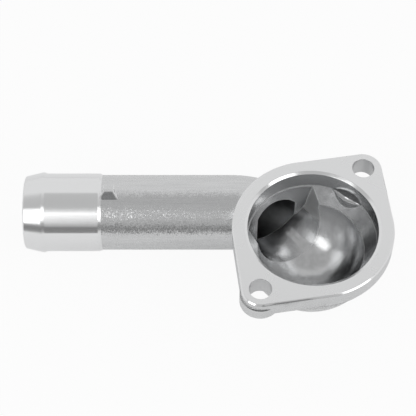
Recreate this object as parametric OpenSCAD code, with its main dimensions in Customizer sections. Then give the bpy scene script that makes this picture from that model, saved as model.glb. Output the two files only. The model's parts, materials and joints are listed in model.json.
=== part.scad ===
// Water outlet housing, cast in one piece. The mating face is at Z = 0 and looks up,
// the bolt circle is centred on the Z axis, and the hose tube runs along -X below the flange.

/* [Flange] */
// Diameter of the round part of the flange
flange_d = 64.4; // [63.6:0.2:70]
// Thickness of the flange
flange_t = 7.2; // [6:0.2:8]
// Bevel round the edge of the mating face
flange_bevel = 0.6; // [0.2:0.1:1.5]
// Distance between the two bolt holes
bolt_spacing = 71.2; // [70.4:0.2:76]
// Angle of the bolt line from the X axis
bolt_angle = 53; // [46:1:60]
// Diameter of the bolt holes
bolt_d = 9; // [6:0.5:11]
// Radius of the rounded lug round each bolt hole
lug_r = 7.5; // [6.5:0.1:9]
// Radius of the seat for the bolt head behind each lug
boss_r = 8; // [7:0.1:9]
// Height of that seat behind the flange
boss_h = 1.8; // [0.6:0.2:3]
// Radius kept free for the bolt head behind the flange
head_room_r = 8.5; // [7:0.1:8.7]

/* [Chamber] */
// Diameter of the machined valve seat
seat_d = 52; // [48:0.2:52.6]
// Depth of the valve seat below the mating face
seat_depth = 8.4; // [6:0.2:9]
// Width of the bevel round the rim of the seat
rim_w = 1.1; // [0.4:0.1:1.8]
// Depth of that bevel
rim_h = 0.75; // [0.3:0.05:1.5]
// Diameter of the throat below the seat
throat_d = 42.8; // [40:0.2:43]
// Depth of the throat below the mating face
throat_depth = 15.5; // [14.4:0.1:18]
// Radius of the round bowl below the throat
bowl_r = 21.6; // [21.5:0.1:23]
// Depth of the bowl's floor below the mating face
bowl_depth = 35.1; // [35:0.1:38]
// Wall of the casting round the chamber
wall = 5.2; // [4:0.1:6]
// Wall of the casting between the chamber and the bolt heads
head_wall = 4; // [3:0.1:5]

/* [Flow pocket] */
// Direction in which the pocket leaves the chamber
pocket_angle = 132; // [128:1:136]
// Distance from the chamber's axis to the pocket's back wall, at the depth of the seat
pocket_back = 18.3; // [17.3:0.1:18.8]
// Slope of the back wall, across for each unit down
back_draft = 0.15; // [0.1:0.01:0.2]
// Distance from the chamber's axis to the pocket's front wall, at the depth of the seat
pocket_front = 16; // [14:0.1:17]
// Slope of the front wall, across for each unit down
front_draft = 0.2; // [0.1:0.01:0.25]
// Depth of the pocket's floor below the mating face
pocket_depth = 33.5; // [33:0.1:34.9]
// Rounding between the pocket's walls and its floor
pocket_round = 15; // [10:0.1:15.3]
// Wall of the casting beside and behind the pocket
pocket_wall = 3.8; // [3.4:0.1:4.4]
// Step from the machined seat in to the cast wall of the pocket
pocket_step = 0.3; // [0.3:0.1:1]
// Direction from the chamber's axis to the middle of the lip of the tube mouth
lip_angle = 124; // [121:1:127]
// Distance from the pocket's round wall in to that lip
lip_in = 1.8; // [0.8:0.1:2.7]

/* [Tube] */
// Outer diameter of the cast tube
tube_d = 31.2; // [28:0.2:32]
// Offset of the tube's axis from the chamber's axis
tube_y = 23.3; // [20:0.1:26]
// Depth of the tube's axis below the mating face
tube_depth = 24.6; // [23.6:0.1:25]
// Radius of the tube's bend into the chamber, on its axis
bend_r = 32; // [28:1:36]
// Distance from the chamber's axis to the start of the bend
bend_x = 32; // [28:1:36]
// Radius of the bore's bend, on its axis
bore_bend_r = 28; // [24:1:30]
// Distance from the chamber's axis to the start of the bore's bend
bore_bend_x = 28; // [24:1:30]
// Diameter of the bore at its inner end
bore_in_d = 21; // [18:0.2:22]
// Diameter of the bore at the spigot's end
bore_out_d = 24.6; // [20:0.2:26]
// Bevel round the bore at the spigot's end
bore_bevel = 0.8; // [0.2:0.1:1.5]

/* [Spigot] */
// Distance from the chamber's axis to the end of the spigot
spigot_end = 117.4; // [100:0.2:160]
// Length of the turned spigot, from its end to its shoulder
spigot_len = 30.7; // [24:0.1:40]
// Diameter of the land on which the hose is clamped
spigot_d = 32.4; // [31.4:0.1:34]
// Diameter of the bead that holds the hose
bead_d = 33.5; // [32.6:0.1:36]
// Diameter of the tip
tip_d = 30.2; // [28:0.1:32]
// Bevel round the tip
tip_bevel = 0.4; // [0.1:0.1:1]
// Length of the slope from the tip to the bead
bead_ramp = 7.5; // [4:0.1:10]
// Length of the slope behind the bead
bead_back = 1.4; // [0.6:0.1:3]
// Length of the step from the land down to the cast tube
shoulder_run = 1.3; // [0.4:0.1:3]

/* [Cast pad] */
// Length of the flat pad beside the shoulder, along the tube
pad_len = 3.9; // [2:0.1:8]
// Gap between the shoulder and the pad's flat
pad_gap = 1.1; // [0.5:0.1:4]
// Lean of the pad's flat away from the vertical
pad_lean = 22; // [10:1:30]
// Reach of the pad's flat round the tube
pad_reach = 7; // [5:0.1:9]
// Slope of the pad's side walls, across for each unit down
pad_draft = 0.77; // [0.3:0.01:1]

/* [Hidden] */
$fn = 96;
cut = 1;
far = 80;
flange_r = flange_d / 2;
bolt_r = bolt_spacing / 2;
boss_z = flange_t + boss_h;
web_angle = acos((flange_r - lug_r) / bolt_r);
web_sink = 0.03;
seat_r = seat_d / 2;
neck_r = seat_r + wall;
neck_depth = seat_depth + rim_w;
throat_r = throat_d / 2;
bowl_z = bowl_depth - bowl_r;
bowl_out_r = bowl_r + wall;
round_steps = 12;
floor_room = 0.1;
pocket_r = seat_r - pocket_step;
lip_r = pocket_r - lip_in;
pocket_out_round = pocket_round + pocket_wall;
pocket_dome_r = sqrt(pow(pocket_r, 2) + pow(pocket_depth - seat_depth, 2)) + pocket_wall;
taper_sink = 0.6;
tube_r = tube_d / 2;
bend_sweep = 75;
bore_sweep = 50;
bore_in_r = bore_in_d / 2;
bore_out_r = bore_out_d / 2;
spigot_r = spigot_d / 2;
bead_r = bead_d / 2;
tip_r = tip_d / 2;
bead_x = spigot_end - bead_ramp;
land_x = bead_x - bead_back;
shoulder_x = spigot_end - spigot_len;
cast_x = shoulder_x - shoulder_run;
pad_sink = 0.1;
pad_root = 3;
pad_x = cast_x - pad_gap - pad_len / 2;

// Puts its children at both bolt holes
module at_bolts() {
    for (side = [0, 180]) {
        rotate([0, 0, bolt_angle + side])
            translate([bolt_r, 0, 0])
                children();
    }
}

// Half section of a disc whose top edge at Z = 0 is bevelled
module bevelled_section(reach) {
    polygon([[0, -flange_t], [reach, -flange_t], [reach, -flange_bevel], [reach - flange_bevel, 0], [0, 0]]);
}

// Point where a tangent from the disc to a lug leaves a circle that is centred on the bolt line
function web_point(centre, radius) =
    [centre + (radius - web_sink) * cos(web_angle), (radius - web_sink) * sin(web_angle)];

// Plan of the webs along the four tangents from the disc to the lugs, with the bolt line along X
module web_plan() {
    disc = web_point(0, flange_r);
    lug = web_point(bolt_r, lug_r);
    polygon([disc, lug, [lug[0], -lug[1]], [disc[0], -disc[1]], -disc, -lug, [-lug[0], lug[1]],
        [-disc[0], disc[1]]]);
}

// Wide bar whose two long sides are bevelled at the top, to bevel the webs
module bevelled_bar() {
    half = flange_r - web_sink;
    rotate([90, 0, 0])
        linear_extrude(height = 2 * far, center = true)
            polygon([[-half, -far], [half, -far], [half, -flange_bevel], [half - flange_bevel - cut, cut],
                [flange_bevel + cut - half, cut], [-half, -flange_bevel]]);
}

// Webs between the disc and the lugs
module webs() {
    rotate([0, 0, bolt_angle])
        intersection() {
            translate([0, 0, web_sink - flange_t])
                linear_extrude(height = flange_t - web_sink)
                    web_plan();
            rotate([0, 0, web_angle])
                bevelled_bar();
            rotate([0, 0, -web_angle])
                bevelled_bar();
        }
}

// Flange: a disc, a lug at each bolt, and the webs between them
module flange() {
    rotate_extrude()
        bevelled_section(flange_r);
    at_bolts()
        rotate_extrude()
            bevelled_section(lug_r);
    webs();
}

// Seats for the bolt heads on the back of the flange
module bolt_bosses() {
    at_bolts()
        translate([0, 0, -boss_z])
            cylinder(h = boss_h + flange_t / 2, r = boss_r);
}

// Round neck, its taper and the bowl, as the outside of the casting
module bowl_outside() {
    taper_low = throat_depth + wall;
    taper_r = sqrt(pow(bowl_out_r, 2) - pow(taper_low - bowl_z, 2)) - taper_sink;
    rotate_extrude()
        polygon([[0, -flange_t / 2], [neck_r, -flange_t / 2], [neck_r, -neck_depth], [taper_r, -taper_low],
            [0, -taper_low]]);
    translate([0, 0, -bowl_z])
        intersection() {
            sphere(r = bowl_out_r);
            translate([-far, -far, -far])
                cube([2 * far, 2 * far, far]);
        }
}

// Points along a rounding, from one direction to another as seen from its centre
function rounding(centre, radius, from, to) =
    [for (step = [0 : round_steps])
        let (angle = from + (to - from) * step / round_steps)
            centre + radius * [cos(angle), sin(angle)]];

// Trough with sloping walls and a round floor, from the chamber's axis outwards along the pocket.
// The roundings are held to the room between the walls.
module trough(top, floor_z, corner, grow) {
    drop = floor_z - seat_depth;
    back = pocket_back + grow / cos(atan(back_draft));
    front = pocket_front + grow / cos(atan(front_draft));
    widest = (back + front - drop * (back_draft + front_draft)) / (2 - back_draft - front_draft);
    radius = min(corner, widest - floor_room);
    back_foot = back - (drop - radius) * back_draft;
    front_foot = front - (drop - radius) * front_draft;
    back_top = back + (seat_depth - top) * back_draft;
    front_top = front + (seat_depth - top) * front_draft;
    rotate([0, 0, pocket_angle])
        rotate([90, 0, 90])
            linear_extrude(height = far)
                polygon(concat([[front_top, -top], [-back_top, -top]],
                    rounding([radius - back_foot, radius - floor_z], radius, 180, 270),
                    rounding([front_foot - radius, radius - floor_z], radius, 270, 360)));
}

// Outside of the pocket
module pocket_outside() {
    intersection() {
        translate([0, 0, -far])
            cylinder(h = far, r = pocket_r + pocket_wall);
        translate([0, 0, -seat_depth])
            sphere(r = pocket_dome_r);
        trough(flange_t / 2, pocket_depth + wall, pocket_out_round, pocket_wall);
    }
}

// Tube and spigot as one turned section along -X, drawn as radius against distance from the axis
module tube_outside() {
    translate([0, tube_y, -tube_depth])
        rotate([0, -90, 0])
            rotate_extrude()
                polygon([[0, bend_x], [tube_r, bend_x], [tube_r, cast_x], [spigot_r, shoulder_x],
                    [spigot_r, land_x], [bead_r, bead_x], [tip_r, spigot_end - tip_bevel],
                    [tip_r - tip_bevel, spigot_end], [0, spigot_end]]);
}

// Round bend that starts along +X at a distance from the chamber's axis and turns towards it
module bend(start, centre_r, section_r, sweep) {
    translate([-start, tube_y - centre_r, -tube_depth])
        rotate([0, 0, 90])
            mirror([0, 1, 0])
                rotate_extrude(angle = sweep)
                    translate([centre_r, 0])
                        circle(r = section_r);
}

// Flat pad with sloping sides on the top of the tube beside the shoulder
module cast_pad() {
    flat = tube_r - pad_sink;
    foot = flat - pad_root;
    front = pad_reach + pad_root * pad_draft;
    half = pad_len / 2;
    foot_half = half + pad_root * pad_draft;
    translate([-pad_x, tube_y, -tube_depth])
        rotate([-pad_lean, 0, 0])
            intersection() {
                rotate([90, 0, 90])
                    linear_extrude(height = 4 * pad_len, center = true)
                        polygon([[0, foot], [0, flat], [-pad_reach, flat], [-front, foot]]);
                rotate([90, 0, 0])
                    linear_extrude(height = 4 * pad_reach, center = true)
                        polygon([[-foot_half, foot], [-half, flat], [half, flat], [foot_half, foot]]);
            }
}

// Room for the bolt heads, cut into the outside of the bowl
module bolt_head_room() {
    at_bolts()
        translate([0, 0, -far])
            cylinder(h = far - boss_z, r = head_room_r);
}

// Machined seat with its bevelled rim and the taper below it, less the walls that clear the bolt heads
module seat() {
    difference() {
        rotate_extrude()
            polygon([[0, cut], [seat_r + rim_w + cut * rim_w / rim_h, cut], [seat_r, -rim_h],
                [seat_r, -seat_depth], [throat_r, -throat_depth], [0, -throat_depth]]);
        at_bolts()
            translate([0, 0, -far])
                cylinder(h = far - seat_depth, r = head_room_r + head_wall);
    }
}

// Round bowl below the throat
module bowl_inside() {
    translate([0, 0, -bowl_z])
        sphere(r = bowl_r);
}

// Pocket from the chamber to the mouth of the tube
module pocket_inside() {
    intersection() {
        translate([0, 0, -far])
            cylinder(h = far, r = pocket_r);
        trough(seat_depth / 2, pocket_depth, pocket_round, 0);
    }
}

// Bore of the tube: a draughted core and a bend that stops at the lip of the pocket
module bore() {
    core_len = spigot_end - bore_bend_x;
    translate([-spigot_end, tube_y, -tube_depth])
        rotate([0, 90, 0]) {
            cylinder(h = core_len, r1 = bore_out_r, r2 = bore_in_r);
            translate([0, 0, -cut])
                cylinder(h = cut + bore_bevel, r1 = bore_out_r + bore_bevel + cut, r2 = bore_out_r);
        }
    intersection() {
        bend(bore_bend_x, bore_bend_r, bore_in_r, bore_sweep);
        rotate([0, 0, lip_angle])
            translate([lip_r, -far / 2, -far])
                cube([far, far, far]);
    }
}

// The whole casting
module housing() {
    color("silver")
        difference() {
            union() {
                difference() {
                    union() {
                        bowl_outside();
                        pocket_outside();
                        bend(bend_x, bend_r, tube_r, bend_sweep);
                    }
                    bolt_head_room();
                }
                tube_outside();
                cast_pad();
                flange();
                bolt_bosses();
            }
            union() {
                seat();
                pocket_inside();
                bowl_inside();
                bore();
            }
            at_bolts()
                translate([0, 0, -far])
                    cylinder(h = far + cut, r = bolt_d / 2);
        }
}

housing();
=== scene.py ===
"""Studio scene of a cast coolant outlet housing: its finishes, its light and its camera."""

import json
import logging
import math
from abc import ABC, abstractmethod
from dataclasses import dataclass, field
from enum import Enum
from typing import Any

import bmesh
import bpy
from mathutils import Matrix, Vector


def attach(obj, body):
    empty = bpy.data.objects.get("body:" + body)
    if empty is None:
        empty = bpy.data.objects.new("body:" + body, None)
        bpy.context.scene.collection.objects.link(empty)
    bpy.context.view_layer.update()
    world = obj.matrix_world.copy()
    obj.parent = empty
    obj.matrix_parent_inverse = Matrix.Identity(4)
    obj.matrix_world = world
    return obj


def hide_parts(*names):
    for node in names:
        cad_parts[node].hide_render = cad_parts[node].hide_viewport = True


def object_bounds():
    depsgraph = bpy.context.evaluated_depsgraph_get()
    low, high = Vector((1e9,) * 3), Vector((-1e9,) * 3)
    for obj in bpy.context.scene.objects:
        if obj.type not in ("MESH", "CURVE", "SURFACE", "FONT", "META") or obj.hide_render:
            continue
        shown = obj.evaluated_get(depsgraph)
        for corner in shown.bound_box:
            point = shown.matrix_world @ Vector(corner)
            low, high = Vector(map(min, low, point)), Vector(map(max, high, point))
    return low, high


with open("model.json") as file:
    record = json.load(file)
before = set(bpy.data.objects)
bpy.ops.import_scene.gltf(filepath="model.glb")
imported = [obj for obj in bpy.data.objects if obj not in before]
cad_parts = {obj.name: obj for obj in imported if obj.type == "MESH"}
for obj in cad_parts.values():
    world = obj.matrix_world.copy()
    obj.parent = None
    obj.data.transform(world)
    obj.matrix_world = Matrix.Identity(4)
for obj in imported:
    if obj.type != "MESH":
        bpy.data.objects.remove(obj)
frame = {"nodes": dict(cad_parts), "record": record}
cad_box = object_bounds()

LOG = logging.getLogger("housing")
MM = 0.001
WHITE = (1.0, 1.0, 1.0, 1.0)
FLOAT = "NodeSocketFloat"
VECTOR = "NodeSocketVector"

# Bare aluminium is a cool grey: green and blue are each this much paler than the channel before.
COOL_STEP = 0.005
# A highlight is painted along an edge by the angle between its rounded and its plain normal.
# These are the cosines of that angle where the painted highlight starts and where it is full.
EDGE_MASK_STARTS = 0.9985
EDGE_MASK_IS_FULL = 0.988
BEVEL_SAMPLES = 12
LINE_DETAIL = 2.0
PATCH_DETAIL = 4.0

Node = bpy.types.Node
Socket = bpy.types.NodeSocket
Span = tuple[float, float]
Triple = tuple[float, float, float]


class Finish(Enum):
    """The surfaces of the casting, by how each was made. The value is the material's name."""

    SKIN = "blasted_casting"
    SIDE = "trimmed_side"
    PAD = "cast_pad"
    SPIGOT = "turned_spigot"
    FACE = "milled_face"
    EDGE = "bevelled_edge"
    SEAT = "bored_seat_painted_shade"
    HOLE = "drilled_hole"
    CORE = "cored_inside_painted_shade_and_highlight"
    BORE = "cored_bore_painted_shade_and_light"
    WALL = "cored_wall_painted_light"


class Graph:
    """A node tree with short calls that add nodes and join their sockets."""

    def __init__(self, tree: bpy.types.NodeTree) -> None:
        """Keep the tree that the calls work on.

        Args:
            tree: The node tree of a material, a world or a group.
        """
        self.tree = tree

    def add(self, kind: str, inputs: dict[str, Any] | None = None, **settings: Any) -> Node:
        """Add one node.

        Args:
            kind: Blender's name of the node's class.
            inputs: Socket names, each with a socket to join or a plain value to set.
            settings: The node's own properties.

        Returns:
            The new node.
        """
        node = self.tree.nodes.new(kind)
        for name, value in settings.items():
            setattr(node, name, value)
        for name, value in (inputs or {}).items():
            self.feed(node.inputs[name], value)
        return node

    def use(self, group: bpy.types.NodeTree, inputs: dict[str, Any]) -> Node:
        """Add a node that runs a shared group.

        Args:
            group: The group.
            inputs: Socket names, each with a socket to join or a plain value to set.

        Returns:
            The new node.
        """
        return self.add("ShaderNodeGroup", inputs, node_tree=group)

    def find(self, kind: str) -> Node:
        """Find a node that the tree came with.

        Args:
            kind: Blender's name of the node's type.

        Returns:
            The first node of that type.
        """
        return next(node for node in self.tree.nodes if node.type == kind)

    def feed(self, socket: Socket, value: Any) -> None:
        """Join a socket to another one, or set it to a plain value.

        Args:
            socket: The input socket.
            value: An output socket or a plain value.
        """
        if isinstance(value, Socket):
            self.tree.links.new(value, socket)
        else:
            socket.default_value = value

    def math(self, operation: str, first: Any, second: Any = 0.0) -> Socket:
        """Add one sum.

        Args:
            operation: Blender's name of the sum.
            first: A socket or a number.
            second: A socket or a number.

        Returns:
            The socket with the result.
        """
        node = self.add("ShaderNodeMath", operation=operation)
        for socket, value in zip(node.inputs, (first, second)):
            self.feed(socket, value)
        return node.outputs[0]

    def vector(self, operation: str, first: Any, second: Any = (0.0, 0.0, 0.0)) -> Socket:
        """Add one sum of vectors.

        Args:
            operation: Blender's name of the sum.
            first: A socket or three numbers.
            second: A socket or three numbers.

        Returns:
            The socket with the result, a number where the sum gives one.
        """
        node = self.add("ShaderNodeVectorMath", operation=operation)
        for socket, value in zip(node.inputs, (first, second)):
            self.feed(socket, value)
        scalar = operation in ("DISTANCE", "DOT_PRODUCT")
        return node.outputs["Value" if scalar else "Vector"]

    def spread(self, value: Socket, low: float, high: float) -> Socket:
        """Map a mask of 0 to 1 onto a range.

        Args:
            value: The socket with the mask.
            low: The result at 0.
            high: The result at 1.

        Returns:
            The socket with the result.
        """
        node = self.add("ShaderNodeMapRange", {"Value": value, "To Min": low, "To Max": high})
        return node.outputs["Result"]

    def ramp(self, value: Socket, start: float, end: float) -> Socket:
        """Map a range onto a mask of 0 to 1.

        Args:
            value: The socket with the value.
            start: The value at which the mask is 0.
            end: The value at which the mask is 1.

        Returns:
            The socket with the mask.
        """
        node = self.add("ShaderNodeMapRange", {"Value": value, "From Min": start, "From Max": end})
        return node.outputs["Result"]

    def tint(self, mask: Socket, tones: Span) -> Socket:
        """Blend two cool greys by a mask.

        Args:
            mask: The socket with the mask.
            tones: The red of the grey at 0 and at 1.

        Returns:
            The socket with the colour.
        """
        node = self.add("ShaderNodeValToRGB", {"Fac": mask})
        for element, tone in zip(node.color_ramp.elements, tones):
            element.color = (tone, tone + COOL_STEP, tone + 2 * COOL_STEP, 1.0)
        return node.outputs["Color"]

    def close(self, kind: str, share: Socket, first: Node, second: Node) -> None:
        """Blend two shaders and join them to the tree's output.

        Args:
            kind: Blender's name of the output's type.
            share: The socket with the share of the second shader.
            first: The first shader.
            second: The second shader.
        """
        mix = self.add("ShaderNodeMixShader")
        for socket, value in zip(mix.inputs, (share, first.outputs[0], second.outputs[0])):
            self.feed(socket, value)
        self.feed(self.find(kind).inputs["Surface"], mix.outputs[0])


class EffectGroups:
    """Shader node groups that several finishes share. Each is built once."""

    def __init__(self) -> None:
        """Build the groups."""
        self.grain = self._grain()
        self.tool_lines = self._tool_lines()
        self.handling = self._handling()
        self.edges = self._edges()

    @staticmethod
    def _new(
        name: str, inputs: dict[str, str], outputs: dict[str, str]
    ) -> tuple[bpy.types.NodeTree, Graph, Node, Node]:
        """Start a group with its sockets.

        Args:
            name: The group's name.
            inputs: Socket names with their type.
            outputs: Socket names with their type.

        Returns:
            The group, its graph, its input node and its output node.
        """
        group = bpy.data.node_groups.new(name, "ShaderNodeTree")
        for side, sockets in (("INPUT", inputs), ("OUTPUT", outputs)):
            for label, kind in sockets.items():
                group.interface.new_socket(label, in_out=side, socket_type=kind)
        graph = Graph(group)
        return group, graph, graph.add("NodeGroupInput"), graph.add("NodeGroupOutput")

    def _grain(self) -> bpy.types.NodeTree:
        """Build the grain of a blasted casting: small facets, each leaning its own way.

        Returns:
            A group that gives the leaning normal and a mask with one value for each facet.
        """
        group, graph, source, sink = self._new(
            "blasted_grain",
            {"Place": VECTOR, "Grain Size": FLOAT, "Lean": FLOAT, "Normal": VECTOR},
            {"Normal": VECTOR, "Facets": FLOAT},
        )
        scale = graph.math("DIVIDE", 1.0, source.outputs["Grain Size"])
        cells = graph.add("ShaderNodeTexVoronoi", {"Vector": source.outputs["Place"], "Scale": scale})
        centred = graph.vector("SUBTRACT", cells.outputs["Color"], (0.5, 0.5, 0.5))
        lean = graph.add("ShaderNodeVectorMath", operation="SCALE")
        graph.feed(lean.inputs["Vector"], centred)
        graph.feed(lean.inputs["Scale"], source.outputs["Lean"])
        tilted = graph.vector("ADD", source.outputs["Normal"], lean.outputs["Vector"])
        graph.feed(sink.inputs["Normal"], graph.vector("NORMALIZE", tilted))
        facet = graph.add("ShaderNodeSeparateColor", {"Color": cells.outputs["Color"]})
        graph.feed(sink.inputs["Facets"], facet.outputs["Red"])
        return group

    def _tool_lines(self) -> bpy.types.NodeTree:
        """Build the fine lines that a cutter leaves.

        Returns:
            A group that gives a height which changes along one distance only.
        """
        group, graph, source, sink = self._new(
            "tool_lines", {"Distance": FLOAT, "Feed": FLOAT}, {"Height": FLOAT}
        )
        turns = graph.math("DIVIDE", source.outputs["Distance"], source.outputs["Feed"])
        lines = graph.add(
            "ShaderNodeTexNoise", {"W": turns, "Scale": 1.0, "Detail": LINE_DETAIL}, noise_dimensions="1D"
        )
        graph.feed(sink.inputs["Height"], lines.outputs["Fac"])
        return group

    def _handling(self) -> bpy.types.NodeTree:
        """Build the broad patches of a surface that was washed and handled.

        Returns:
            A group that gives a mask of broad soft patches.
        """
        group, graph, source, sink = self._new(
            "handling", {"Place": VECTOR, "Patch Size": FLOAT}, {"Patches": FLOAT}
        )
        scale = graph.math("DIVIDE", 1.0, source.outputs["Patch Size"])
        place = source.outputs["Place"]
        cloud = graph.add("ShaderNodeTexNoise", {"Vector": place, "Scale": scale, "Detail": PATCH_DETAIL})
        graph.feed(sink.inputs["Patches"], cloud.outputs["Fac"])
        return group

    def _edges(self) -> bpy.types.NodeTree:
        """Build the mask of the edges, along which a highlight is painted.

        Returns:
            A group that gives a mask of the places where the rounded normal leaves the plain one.
        """
        group, graph, source, sink = self._new(
            "edge_mask", {"Rounded": VECTOR, "Normal": VECTOR}, {"Edges": FLOAT}
        )
        along = graph.vector("DOT_PRODUCT", source.outputs["Rounded"], source.outputs["Normal"])
        graph.feed(sink.inputs["Edges"], graph.ramp(along, EDGE_MASK_STARTS, EDGE_MASK_IS_FULL))
        return group


@dataclass(frozen=True)
class Metal(ABC):
    """A bare aluminium surface: its greys, its painted shade and edge highlight, its gloss and its relief.
    Lengths are in metres.
    """

    kind: Finish
    tones: Span
    gloss: Span
    relief: float
    edge_r: float = 0.25 * MM
    # How strongly a highlight is painted along the edges.
    edge_highlight: float = 0.0
    # The part of the tone that is kept: below 1 it paints shade over the whole surface.
    share: float = 1.0
    depth: float = 0.01 * MM

    @abstractmethod
    def material(self, effects: EffectGroups) -> bpy.types.Material:
        """Build the material.

        Args:
            effects: The shared groups.

        Returns:
            The finished material.
        """

    def start(self) -> tuple[bpy.types.Material, Graph, Node]:
        """Start the material.

        Returns:
            The material, its graph and its metal shader.
        """
        material = bpy.data.materials.new(self.kind.value)
        material.use_nodes = True
        graph = Graph(material.node_tree)
        shader = graph.find("BSDF_PRINCIPLED")
        shader.inputs["Metallic"].default_value = 1.0
        return material, graph, shader

    def place(self, graph: Graph) -> Socket:
        """Read the place on the part.

        Args:
            graph: The material's graph.

        Returns:
            The socket with the place, in metres.
        """
        return graph.add("ShaderNodeTexCoord").outputs["Object"]

    def round_edges(self, graph: Graph) -> Socket:
        """Round the sharp edges in the shading.

        Args:
            graph: The material's graph.

        Returns:
            The socket with the rounded normal.
        """
        bevel = graph.add("ShaderNodeBevel", {"Radius": self.edge_r}, samples=BEVEL_SAMPLES)
        return bevel.outputs["Normal"]

    def find_edges(self, graph: Graph, effects: EffectGroups, rounded: Socket) -> Socket:
        """Find the edges of the surface.

        Args:
            graph: The material's graph.
            effects: The shared groups.
            rounded: The socket with the rounded normal.

        Returns:
            The socket with a mask of the edges.
        """
        plain = graph.add("ShaderNodeNewGeometry").outputs["Normal"]
        return graph.use(effects.edges, {"Rounded": rounded, "Normal": plain}).outputs["Edges"]

    def paint_edge_highlight(self, graph: Graph, edges: Socket, tone: Socket) -> Socket:
        """Darken the tone by its share, as painted shade, and paint a highlight along the edges.

        Args:
            graph: The material's graph.
            edges: The socket with the mask of the edges.
            tone: The socket with the tone, from 0 to 1.

        Returns:
            The socket with the shaded tone and its painted highlight.
        """
        highlight = graph.math("MULTIPLY", edges, self.edge_highlight)
        return graph.math("ADD", graph.math("MULTIPLY", tone, self.share), highlight)

    def raise_relief(self, graph: Graph, height: Socket, normal: Socket) -> Socket:
        """Bend a normal by the relief.

        Args:
            graph: The material's graph.
            height: The socket with the relief's height, from 0 to about 1.
            normal: The socket with the normal.

        Returns:
            The socket with the bent normal.
        """
        inputs = {"Height": height, "Strength": self.relief, "Distance": self.depth, "Normal": normal}
        return graph.add("ShaderNodeBump", inputs).outputs["Normal"]


@dataclass(frozen=True)
class BlastedCasting(Metal):
    """The grainy skin of the casting, blasted after it was cast."""

    depth: float = 0.02 * MM
    grain: float = 0.42 * MM
    streak: float = 0.8 * MM
    draw: Triple = (0.05, 1.0, 1.0)
    lean: float = 0.3
    grit: float = 0.15

    def material(self, effects: EffectGroups) -> bpy.types.Material:
        """Build the material.

        Args:
            effects: The shared groups.

        Returns:
            The finished material.
        """
        material, graph, shader = self.start()
        place = self.place(graph)
        rounded = self.round_edges(graph)
        grain = graph.use(
            effects.grain, {"Place": place, "Grain Size": self.grain, "Lean": self.lean, "Normal": rounded}
        )
        facets = grain.outputs["Facets"]
        drawn = graph.vector("MULTIPLY", place, self.draw)
        handling = graph.use(effects.handling, {"Place": drawn, "Patch Size": self.streak})
        streaks = handling.outputs["Patches"]
        tone = graph.math("MULTIPLY", facets, self.grit)
        tone = graph.math("ADD", tone, graph.math("MULTIPLY", streaks, 1.0 - self.grit))
        # Painted shade where the share is below 1, and a painted highlight along the edges.
        tone = self.paint_edge_highlight(graph, self.find_edges(graph, effects, rounded), tone)
        graph.feed(shader.inputs["Base Color"], graph.tint(tone, self.tones))
        graph.feed(shader.inputs["Roughness"], graph.spread(facets, *self.gloss))
        graph.feed(shader.inputs["Normal"], self.raise_relief(graph, streaks, grain.outputs["Normal"]))
        return material


class Lay(Enum):
    """The way in which a cutter's lines run."""

    ALONG_X = "X"
    ALONG_Z = "Z"
    ROUND_POINT = "radius"


@dataclass(frozen=True)
class CutMetal(Metal):
    """A turned, bored or milled surface with the cutter's lines."""

    lay: Lay = Lay.ALONG_X
    feed: float = 0.25 * MM
    centre: Triple = (0.0, 0.0, 0.0)
    patch: float = 14 * MM
    stretch: float = 0.0

    def distance(self, graph: Graph, place: Socket) -> Socket:
        """Work out the distance along which the lines follow each other.

        Args:
            graph: The material's graph.
            place: The socket with the place on the part.

        Returns:
            The socket with the distance in metres.
        """
        if self.lay is Lay.ROUND_POINT:
            return graph.vector("DISTANCE", place, self.centre)
        return graph.add("ShaderNodeSeparateXYZ", {"Vector": place}).outputs[self.lay.value]

    def material(self, effects: EffectGroups) -> bpy.types.Material:
        """Build the material.

        Args:
            effects: The shared groups.

        Returns:
            The finished material.
        """
        material, graph, shader = self.start()
        place = self.place(graph)
        distance = self.distance(graph, place)
        cutting = graph.use(effects.tool_lines, {"Distance": distance, "Feed": self.feed})
        lines = cutting.outputs["Height"]
        handling = graph.use(effects.handling, {"Place": place, "Patch Size": self.patch})
        patches = handling.outputs["Patches"]
        graph.feed(shader.inputs["Base Color"], graph.tint(lines, self.tones))
        graph.feed(shader.inputs["Roughness"], graph.spread(patches, *self.gloss))
        graph.feed(shader.inputs["Normal"], self.raise_relief(graph, lines, self.round_edges(graph)))
        if self.stretch:
            along = graph.add("ShaderNodeCombineXYZ", {"X": 1.0})
            graph.feed(shader.inputs["Tangent"], along.outputs["Vector"])
            graph.feed(shader.inputs["Anisotropic"], self.stretch)
        return material


@dataclass(frozen=True)
class CoredInside(Metal):
    """The inside of the casting, as the core left it. It may turn paler from one X to another, as painted
    light.
    """

    depth: float = 0.2 * MM
    wave: float = 3.5 * MM
    blunt: float = 0.4
    # The next two fields paint light: the X span over which the tone turns paler, and how much paler it
    # turns.
    paler: Span | None = None
    painted_light_share: float = 0.7

    def material(self, effects: EffectGroups) -> bpy.types.Material:
        """Build the material.

        Args:
            effects: The shared groups.

        Returns:
            The finished material.
        """
        material, graph, shader = self.start()
        place = self.place(graph)
        rounded = self.round_edges(graph)
        handling = graph.use(effects.handling, {"Place": place, "Patch Size": self.wave})
        waves = handling.outputs["Patches"]
        edges = self.find_edges(graph, effects, rounded)
        # Painted shade where the share is below 1, and a painted highlight along the edges.
        tone = self.paint_edge_highlight(graph, edges, waves)
        # Painted light: the tone turns paler along X over the given span.
        if self.paler:
            along = graph.add("ShaderNodeSeparateXYZ", {"Vector": place}).outputs["X"]
            pale = graph.math("MULTIPLY", graph.ramp(along, *self.paler), self.painted_light_share)
            tone = graph.math("ADD", tone, pale)
        gloss = graph.spread(waves, *self.gloss)
        gloss = graph.math("ADD", gloss, graph.math("MULTIPLY", edges, self.blunt))
        graph.feed(shader.inputs["Base Color"], graph.tint(tone, self.tones))
        graph.feed(shader.inputs["Roughness"], gloss)
        graph.feed(shader.inputs["Normal"], self.raise_relief(graph, waves, rounded))
        return material


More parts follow.
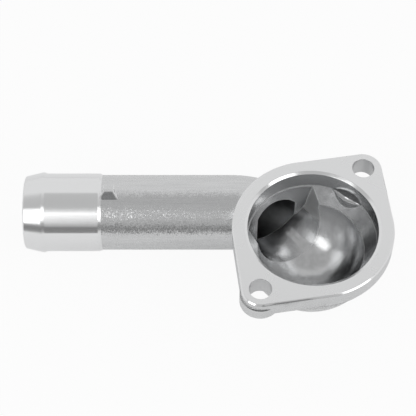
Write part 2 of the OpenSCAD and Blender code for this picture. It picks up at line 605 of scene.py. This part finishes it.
# The skin's wide edge radius rounds the root of the tube in the shading.
METALS: tuple[Metal, ...] = (
    BlastedCasting(Finish.SKIN, (0.62, 0.84), (0.2, 0.28), relief=0.3, edge_r=6 * MM, lean=0.16),
    BlastedCasting(Finish.SIDE, (0.68, 0.78), (0.26, 0.34), relief=0.25, lean=0.06),
    # The pad's tone is halved and runs down to a very dark grey: painted shade on the pad's slopes. A
    # strong highlight is painted along its edges.
    BlastedCasting(
        Finish.PAD, (0.12, 0.92), (0.2, 0.28), relief=0.2, edge_r=1.2 * MM, edge_highlight=4.0, share=0.5,
        lean=0.03, streak=3 * MM, grit=0.1,
    ),
    CutMetal(Finish.SPIGOT, (0.87, 0.95), (0.18, 0.23), relief=0.25, lay=Lay.ALONG_X, stretch=1.0),
    CutMetal(
        Finish.FACE, (0.85, 0.93), (0.24, 0.3), relief=0.2,
        lay=Lay.ROUND_POINT, centre=(90 * MM, -60 * MM, 0.0),
    ),
    CutMetal(Finish.EDGE, (0.84, 0.94), (0.12, 0.18), relief=0.1, lay=Lay.ALONG_Z),
    # The seat's greys are much darker than the milled face's: painted shade inside the seat.
    CutMetal(Finish.SEAT, (0.52, 0.66), (0.16, 0.24), relief=0.25, lay=Lay.ALONG_Z),
    CutMetal(Finish.HOLE, (0.52, 0.72), (0.25, 0.35), relief=0.3, lay=Lay.ALONG_Z),
    # The chamber's greys are set darker than the skin's: painted shade inside the chamber. A highlight is
    # painted along its edges.
    CoredInside(Finish.CORE, (0.54, 0.78), (0.17, 0.28), relief=0.35, edge_r=0.5 * MM, edge_highlight=0.7),
    # The bore's very dark greys and its quartered tone are painted shade deep in the tube. Its tone turns
    # paler towards the spigot's open end, painted light that reaches in there, and a highlight is painted
    # along its edges.
    CoredInside(
        Finish.BORE, (0.16, 0.84), (0.25, 0.4), relief=0.35, edge_r=0.6 * MM, edge_highlight=0.8, share=0.25,
        paler=(-75 * MM, -110 * MM),
    ),
    # The pocket's steep end is paler than the rest of the inside: painted light there. It is also rougher,
    # and a highlight is painted along its edges.
    CoredInside(Finish.WALL, (0.64, 0.84), (0.5, 0.62), relief=0.35, edge_r=0.5 * MM, edge_highlight=0.7),
)


@dataclass
class Housing:
    """The casting, dressed surface by surface.

    Sizes are in metres and angles in radians. Slopes are parts of a face's normal along one axis.
    """

    node: str = "housing"
    piece_name: str = "housing_casting"
    slot: str = "cast_alloy"
    weld: float = 0.001 * MM
    sliver: float = 0.0005 * MM
    crease: float = math.radians(18.5)
    turned_len: float = 32.1 * MM
    seat_depth: float = 8.45 * MM
    pad_end: float = 41 * MM
    lip_r: float = 23.5 * MM
    mouth_x: float = -3 * MM
    bore_reach: float = 13 * MM
    wall_x: float = 6 * MM
    edge_h: float = 0.85 * MM
    boss_depth: float = 9.1 * MM
    face_slack: float = 0.02 * MM
    wall_slack: float = 0.15 * MM
    chamber_z: float = -13.5 * MM
    bolt_turn: float = math.radians(53)
    tip_slope: float = 0.8
    taper_slope: float = 0.5
    edge_slope: float = 0.2
    ledge_slope: float = 0.9
    side_slope: float = 0.3
    lip_slope: float = 0.85
    wall_slope: float = 0.5
    wall_tilt: float = 0.35
    pad_front: float = 0.3
    pad_side: float = 0.4
    pad_low: float = 0.3
    seat_r: float = field(init=False)
    hole_r: float = field(init=False)
    bolt_r: float = field(init=False)
    spigot_end: Vector = field(init=False)

    def __post_init__(self) -> None:
        """Read the sizes that the frame gives."""
        mounts = {m["name"]: m for m in frame["record"]["mounts"]}
        self.seat_r = mounts["valve_seat"]["dims"]["r_mm"] * MM
        self.spigot_end = Vector(mounts["hose_spigot"]["pos_m"])
        bolts = mounts["flange_bolts"]["dims"]
        self.hole_r = bolts["hole_r_mm"] * MM
        self.bolt_r = bolts["pcd_mm"] / 2 * MM

    def build(self) -> bpy.types.Object:
        """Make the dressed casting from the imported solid's own surface.

        Returns:
            The finished piece.
        """
        source = frame["nodes"][self.node]
        mesh = bpy.data.meshes.new(self.piece_name)
        bm = bmesh.new()
        bm.from_mesh(source.data)
        # The solid's mesh is split where its faces meet, so those borders are noted before the weld.
        border = bm.edges.layers.int.new("border")
        for edge in bm.edges:
            edge[border] = int(edge.is_boundary)
        bmesh.ops.remove_doubles(bm, verts=bm.verts, dist=self.weld)
        bmesh.ops.dissolve_degenerate(bm, edges=bm.edges, dist=self.sliver)
        for edge in bm.edges:
            edge.smooth = not (edge[border] and edge.calc_face_angle(0.0) > self.crease)
        order = [metal.kind for metal in METALS]
        for part in bm.faces:
            part.smooth = True
            part.material_index = order.index(self.finish_of(part))
        bm.to_mesh(mesh)
        bm.free()
        piece = bpy.data.objects.new(self.piece_name, mesh)
        bpy.context.scene.collection.objects.link(piece)
        return piece

    def finish_of(self, part: bmesh.types.BMFace) -> Finish:
        """Tell how one face was made.

        Args:
            part: The face, in the part's frame.

        Returns:
            The finish of that face.
        """
        spot = part.calc_center_median()
        out = part.normal
        radius = math.hypot(spot.x, spot.y)
        corner_r = [math.hypot(v.co.x, v.co.y) for v in part.verts]
        lowest = min(v.co.z for v in part.verts)
        inward = out.x * spot.x + out.y * spot.y < 0
        if lowest > -self.face_slack:
            return Finish.FACE
        if self.in_spigot(spot):
            if out.x < -self.tip_slope:
                return Finish.EDGE
            return Finish.SPIGOT if self.faces_out(spot, out) else Finish.BORE
        if self.near_hole(spot):
            return Finish.HOLE
        if lowest > -self.edge_h and out.z > self.edge_slope:
            return Finish.EDGE
        if max(corner_r) < self.seat_r + self.wall_slack and lowest > -self.seat_depth:
            if out.z > self.ledge_slope or (inward and min(corner_r) > self.seat_r - self.wall_slack):
                return Finish.SEAT
        if lowest > -self.boss_depth and out.z < self.side_slope and not inward and radius > self.seat_r:
            return Finish.SIDE
        if self.inside(spot, out, radius):
            if self.in_bore(spot, out, radius):
                return Finish.BORE
            return Finish.WALL if self.on_wall(spot, out) else Finish.CORE
        return Finish.PAD if self.on_pad(spot, out) else Finish.SKIN

    def tube_arm(self, spot: Vector) -> Vector:
        """Measure how a point lies off the tube's axis.

        Args:
            spot: The point.

        Returns:
            The way from the axis to the point, square to the axis.
        """
        return Vector((0.0, spot.y - self.spigot_end.y, spot.z - self.spigot_end.z))

    def near_hole(self, spot: Vector) -> bool:
        """Tell whether a face lies on the wall of a bolt hole.

        Args:
            spot: The face's centre.

        Returns:
            True for the walls of both holes.
        """
        hole = self.bolt_r * Vector((math.cos(self.bolt_turn), math.sin(self.bolt_turn)))
        reach = self.hole_r + self.wall_slack
        return any((spot.xy - side * hole).length < reach for side in (1, -1))

    def on_pad(self, spot: Vector, out: Vector) -> bool:
        """Tell whether a face is one of the small pad's slopes, which leave the round of the tube.

        Args:
            spot: The face's centre.
            out: The face's normal.

        Returns:
            True for the pad's slopes.
        """
        if not self.turned_len < spot.x - self.spigot_end.x < self.pad_end:
            return False
        arm = self.tube_arm(spot).normalized()
        return abs(out.x) > self.pad_front or (out.y < -self.pad_side and arm.y > -self.pad_low)

    def in_spigot(self, spot: Vector) -> bool:
        """Tell whether a face lies on the turned end of the tube.

        Args:
            spot: The face's centre.

        Returns:
            True for the turned end, inside and outside.
        """
        return spot.x < self.spigot_end.x + self.turned_len

    def faces_out(self, spot: Vector, out: Vector) -> bool:
        """Tell whether a face of the tube looks away from the tube's axis, or along it at its end.

        Args:
            spot: The face's centre.
            out: The face's normal.

        Returns:
            True for the outside of the tube.
        """
        arm = self.tube_arm(spot)
        if self.in_spigot(spot) and (out.x < -self.taper_slope or arm.length > self.bore_reach):
            return True
        return out.dot(arm) > 0

    def inside(self, spot: Vector, out: Vector, radius: float) -> bool:
        """Tell whether a face belongs to the water way.

        Args:
            spot: The face's centre.
            out: The face's normal.
            radius: The centre's distance from the chamber's axis.

        Returns:
            True for the chamber, its pocket and the bore of the tube.
        """
        middle = Vector((0.0, 0.0, self.chamber_z))
        if radius < self.seat_r + self.wall_slack and (spot - middle).dot(out) < 0:
            return True
        near_axis = self.tube_arm(spot).length < self.bore_reach
        return spot.x < self.mouth_x and near_axis and not self.faces_out(spot, out)

    def in_bore(self, spot: Vector, out: Vector, radius: float) -> bool:
        """Tell whether a face of the water way lies beyond the lip of the tube's mouth.

        Args:
            spot: The face's centre.
            out: The face's normal.
            radius: The centre's distance from the chamber's axis.

        Returns:
            True for the bore of the tube.
        """
        inward = -(out.x * spot.x + out.y * spot.y) / radius
        near_axis = self.tube_arm(spot).length < self.bore_reach
        return spot.x < self.mouth_x and radius > self.lip_r and inward < self.lip_slope and near_axis

    def on_wall(self, spot: Vector, out: Vector) -> bool:
        """Tell whether a face of the water way lies on the steep end of the flow pocket.

        Args:
            spot: The face's centre.
            out: The face's normal.

        Returns:
            True for the pocket's end.
        """
        return max(out.x, out.y) < -self.wall_slope and out.z < self.wall_tilt and spot.x < self.wall_x

    def dress(self, piece: bpy.types.Object, effects: EffectGroups) -> None:
        """Give the casting its finishes and its place in the frame.

        Args:
            piece: The casting.
            effects: The shared groups.
        """
        for metal in METALS:
            piece.data.materials.append(metal.material(effects))
        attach(piece, "root")
        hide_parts(self.node)


@dataclass
class Studio:
    """A pale table in a light tent, with a soft lamp on each side.

    Sizes are in metres and angles in degrees. The spans are parts of a direction along one axis.
    """

    table_half: float = 3.0
    table_front: float = -0.15
    table_white: float = 0.82
    table_rough: float = 0.9
    table_glow: float = 0.93
    table_sheen: float = 0.3
    tent: float = 0.76
    open_level: float = 0.5
    low_level: float = 0.22
    open_angle: float = 60.0
    open_soft: float = 0.03
    low_z: Span = (0.27, 0.17)
    front_y: Span = (-0.5, -0.6)
    lamp_level: float = 1.6
    lamp_height: float = 0.75
    lamp_far: float = 1.1
    lamp_lift: float = 35.0
    lamps: tuple[Span, ...] = ((-41.0, 0.62), (53.0, 0.56))

    def build_table(self, height: float) -> bpy.types.Object:
        """Lay the table under the part.

        Args:
            height: The part's lowest point.

        Returns:
            The table.
        """
        bm = bmesh.new()
        bmesh.ops.create_grid(bm, x_segments=1, y_segments=1, size=self.table_half)
        bmesh.ops.translate(bm, verts=bm.verts, vec=(0.0, self.table_front + self.table_half, height))
        mesh = bpy.data.meshes.new("table")
        bm.to_mesh(mesh)
        bm.free()
        table = bpy.data.objects.new("table", mesh)
        bpy.context.scene.collection.objects.link(table)
        mesh.materials.append(self.table_material())
        return table

    def table_material(self) -> bpy.types.Material:
        """Build the pale table: it shows white, and keeps a soft share of the shadow.

        Returns:
            The table's material.
        """
        material = bpy.data.materials.new("pale_table")
        material.use_nodes = True
        graph = Graph(material.node_tree)
        shader = graph.find("BSDF_PRINCIPLED")
        shader.inputs["Base Color"].default_value = (self.table_white,) * 3 + (1.0,)
        shader.inputs["Roughness"].default_value = self.table_rough
        glow = graph.add("ShaderNodeEmission", {"Color": WHITE, "Strength": 1.0})
        path = graph.add("ShaderNodeLightPath")
        mirrored = graph.math("MAXIMUM", path.outputs["Is Glossy Ray"], path.outputs["Is Transmission Ray"])
        seen = graph.math(
            "MAXIMUM",
            graph.math("MULTIPLY", path.outputs["Is Camera Ray"], self.table_glow),
            graph.math("MULTIPLY", mirrored, self.table_sheen),
        )
        graph.close("OUTPUT_MATERIAL", seen, shader, glow)
        return material

    def build_world(self, toward: Vector) -> None:
        """Set up a white light tent that is open, and darker, on the camera's side.

        Args:
            toward: The direction from the part to the camera.
        """
        world = bpy.data.worlds.new("light_tent")
        world.use_nodes = True
        bpy.context.scene.world = world
        graph = Graph(world.node_tree)
        way = graph.add("ShaderNodeTexCoord").outputs["Generated"]
        edge = math.cos(math.radians(self.open_angle))
        ahead = graph.vector("DOT_PRODUCT", way, tuple(toward))
        gap = graph.ramp(ahead, edge - self.open_soft, edge + self.open_soft)
        parts = graph.add("ShaderNodeSeparateXYZ", {"Vector": way}).outputs
        low = graph.ramp(parts["Z"], *self.low_z)
        front = graph.ramp(parts["Y"], *self.front_y)
        gap = graph.math("MAXIMUM", gap, graph.math("MULTIPLY", low, front))
        room = graph.spread(low, self.open_level - self.tent, self.low_level - self.tent)
        level = graph.math("ADD", graph.math("MULTIPLY", gap, room), self.tent)
        tent = graph.add("ShaderNodeBackground", {"Color": WHITE, "Strength": level})
        white = graph.add("ShaderNodeBackground", {"Color": WHITE, "Strength": 1.0})
        path = graph.add("ShaderNodeLightPath")
        graph.close("OUTPUT_WORLD", path.outputs["Is Camera Ray"], tent, white)

    def build_lamps(self, aim: Vector) -> list[bpy.types.Object]:
        """Stand a soft lamp on each side in front of the part.

        Args:
            aim: The point that the lamps look at.

        Returns:
            The lamps.
        """
        lamps = []
        lift = math.radians(self.lamp_lift)
        for turn_deg, width in self.lamps:
            turn = math.radians(turn_deg)
            level = Vector((math.sin(turn), -math.cos(turn), 0.0))
            way = level * math.cos(lift) + Vector((0.0, 0.0, math.sin(lift)))
            data = bpy.data.lights.new("soft_lamp", "AREA")
            data.shape = "RECTANGLE"
            data.size = width
            data.size_y = self.lamp_height
            data.energy = self.lamp_level * math.pi * data.size * data.size_y
            lamp = bpy.data.objects.new("soft_lamp", data)
            lamp.location = aim + way * self.lamp_far
            lamp.rotation_euler = way.to_track_quat("Z", "Y").to_euler()
            bpy.context.scene.collection.objects.link(lamp)
            lamps.append(lamp)
        return lamps


@dataclass
class PhotoCamera:
    """The camera at the photograph's angle.

    Places are in metres, the elevation in degrees, the lens and the sensor in millimetres.
    """

    aim: Triple = (-41.62 * MM, 6.236 * MM, 4.167 * MM)
    distance: float = 583.8 * MM
    elevation: float = 56.25
    lens: float = 127.8
    sensor: float = 36.0

    def toward(self) -> Vector:
        """Work out the way from the part to the camera.

        Returns:
            The direction, with length 1.
        """
        lift = math.radians(self.elevation)
        return Vector((0.0, -math.cos(lift), math.sin(lift)))

    def build(self) -> bpy.types.Object:
        """Place the camera.

        Returns:
            The camera.
        """
        data = bpy.data.cameras.new("photo_camera")
        data.lens = self.lens
        data.sensor_width = self.sensor
        camera = bpy.data.objects.new("photo_camera", data)
        camera.location = Vector(self.aim) + self.toward() * self.distance
        camera.rotation_euler = (math.pi / 2 - math.radians(self.elevation), 0.0, 0.0)
        bpy.context.scene.collection.objects.link(camera)
        bpy.context.scene.camera = camera
        return camera


def main() -> None:
    """Build the scene and report each piece."""
    logging.basicConfig(level=logging.INFO, format="%(name)s: %(message)s")
    bpy.context.scene.view_settings.view_transform = "Standard"
    effects = EffectGroups()
    housing = Housing()
    piece = housing.build()
    housing.dress(piece, effects)
    LOG.info("%s: %d faces, %d finishes", piece.name, len(piece.data.polygons), len(piece.data.materials))
    view = PhotoCamera()
    studio = Studio()
    table = studio.build_table(cad_box[0].z)
    LOG.info("%s lies at %.2f mm", table.name, cad_box[0].z / MM)
    studio.build_world(view.toward())
    lamps = studio.build_lamps(Vector(view.aim))
    LOG.info("%d lamps stand %.2f m away", len(lamps), studio.lamp_far)
    camera = view.build()
    LOG.info("%s stands %.0f mm above the face", camera.name, camera.location.z / MM)


if __name__ == "__main__":
    main()
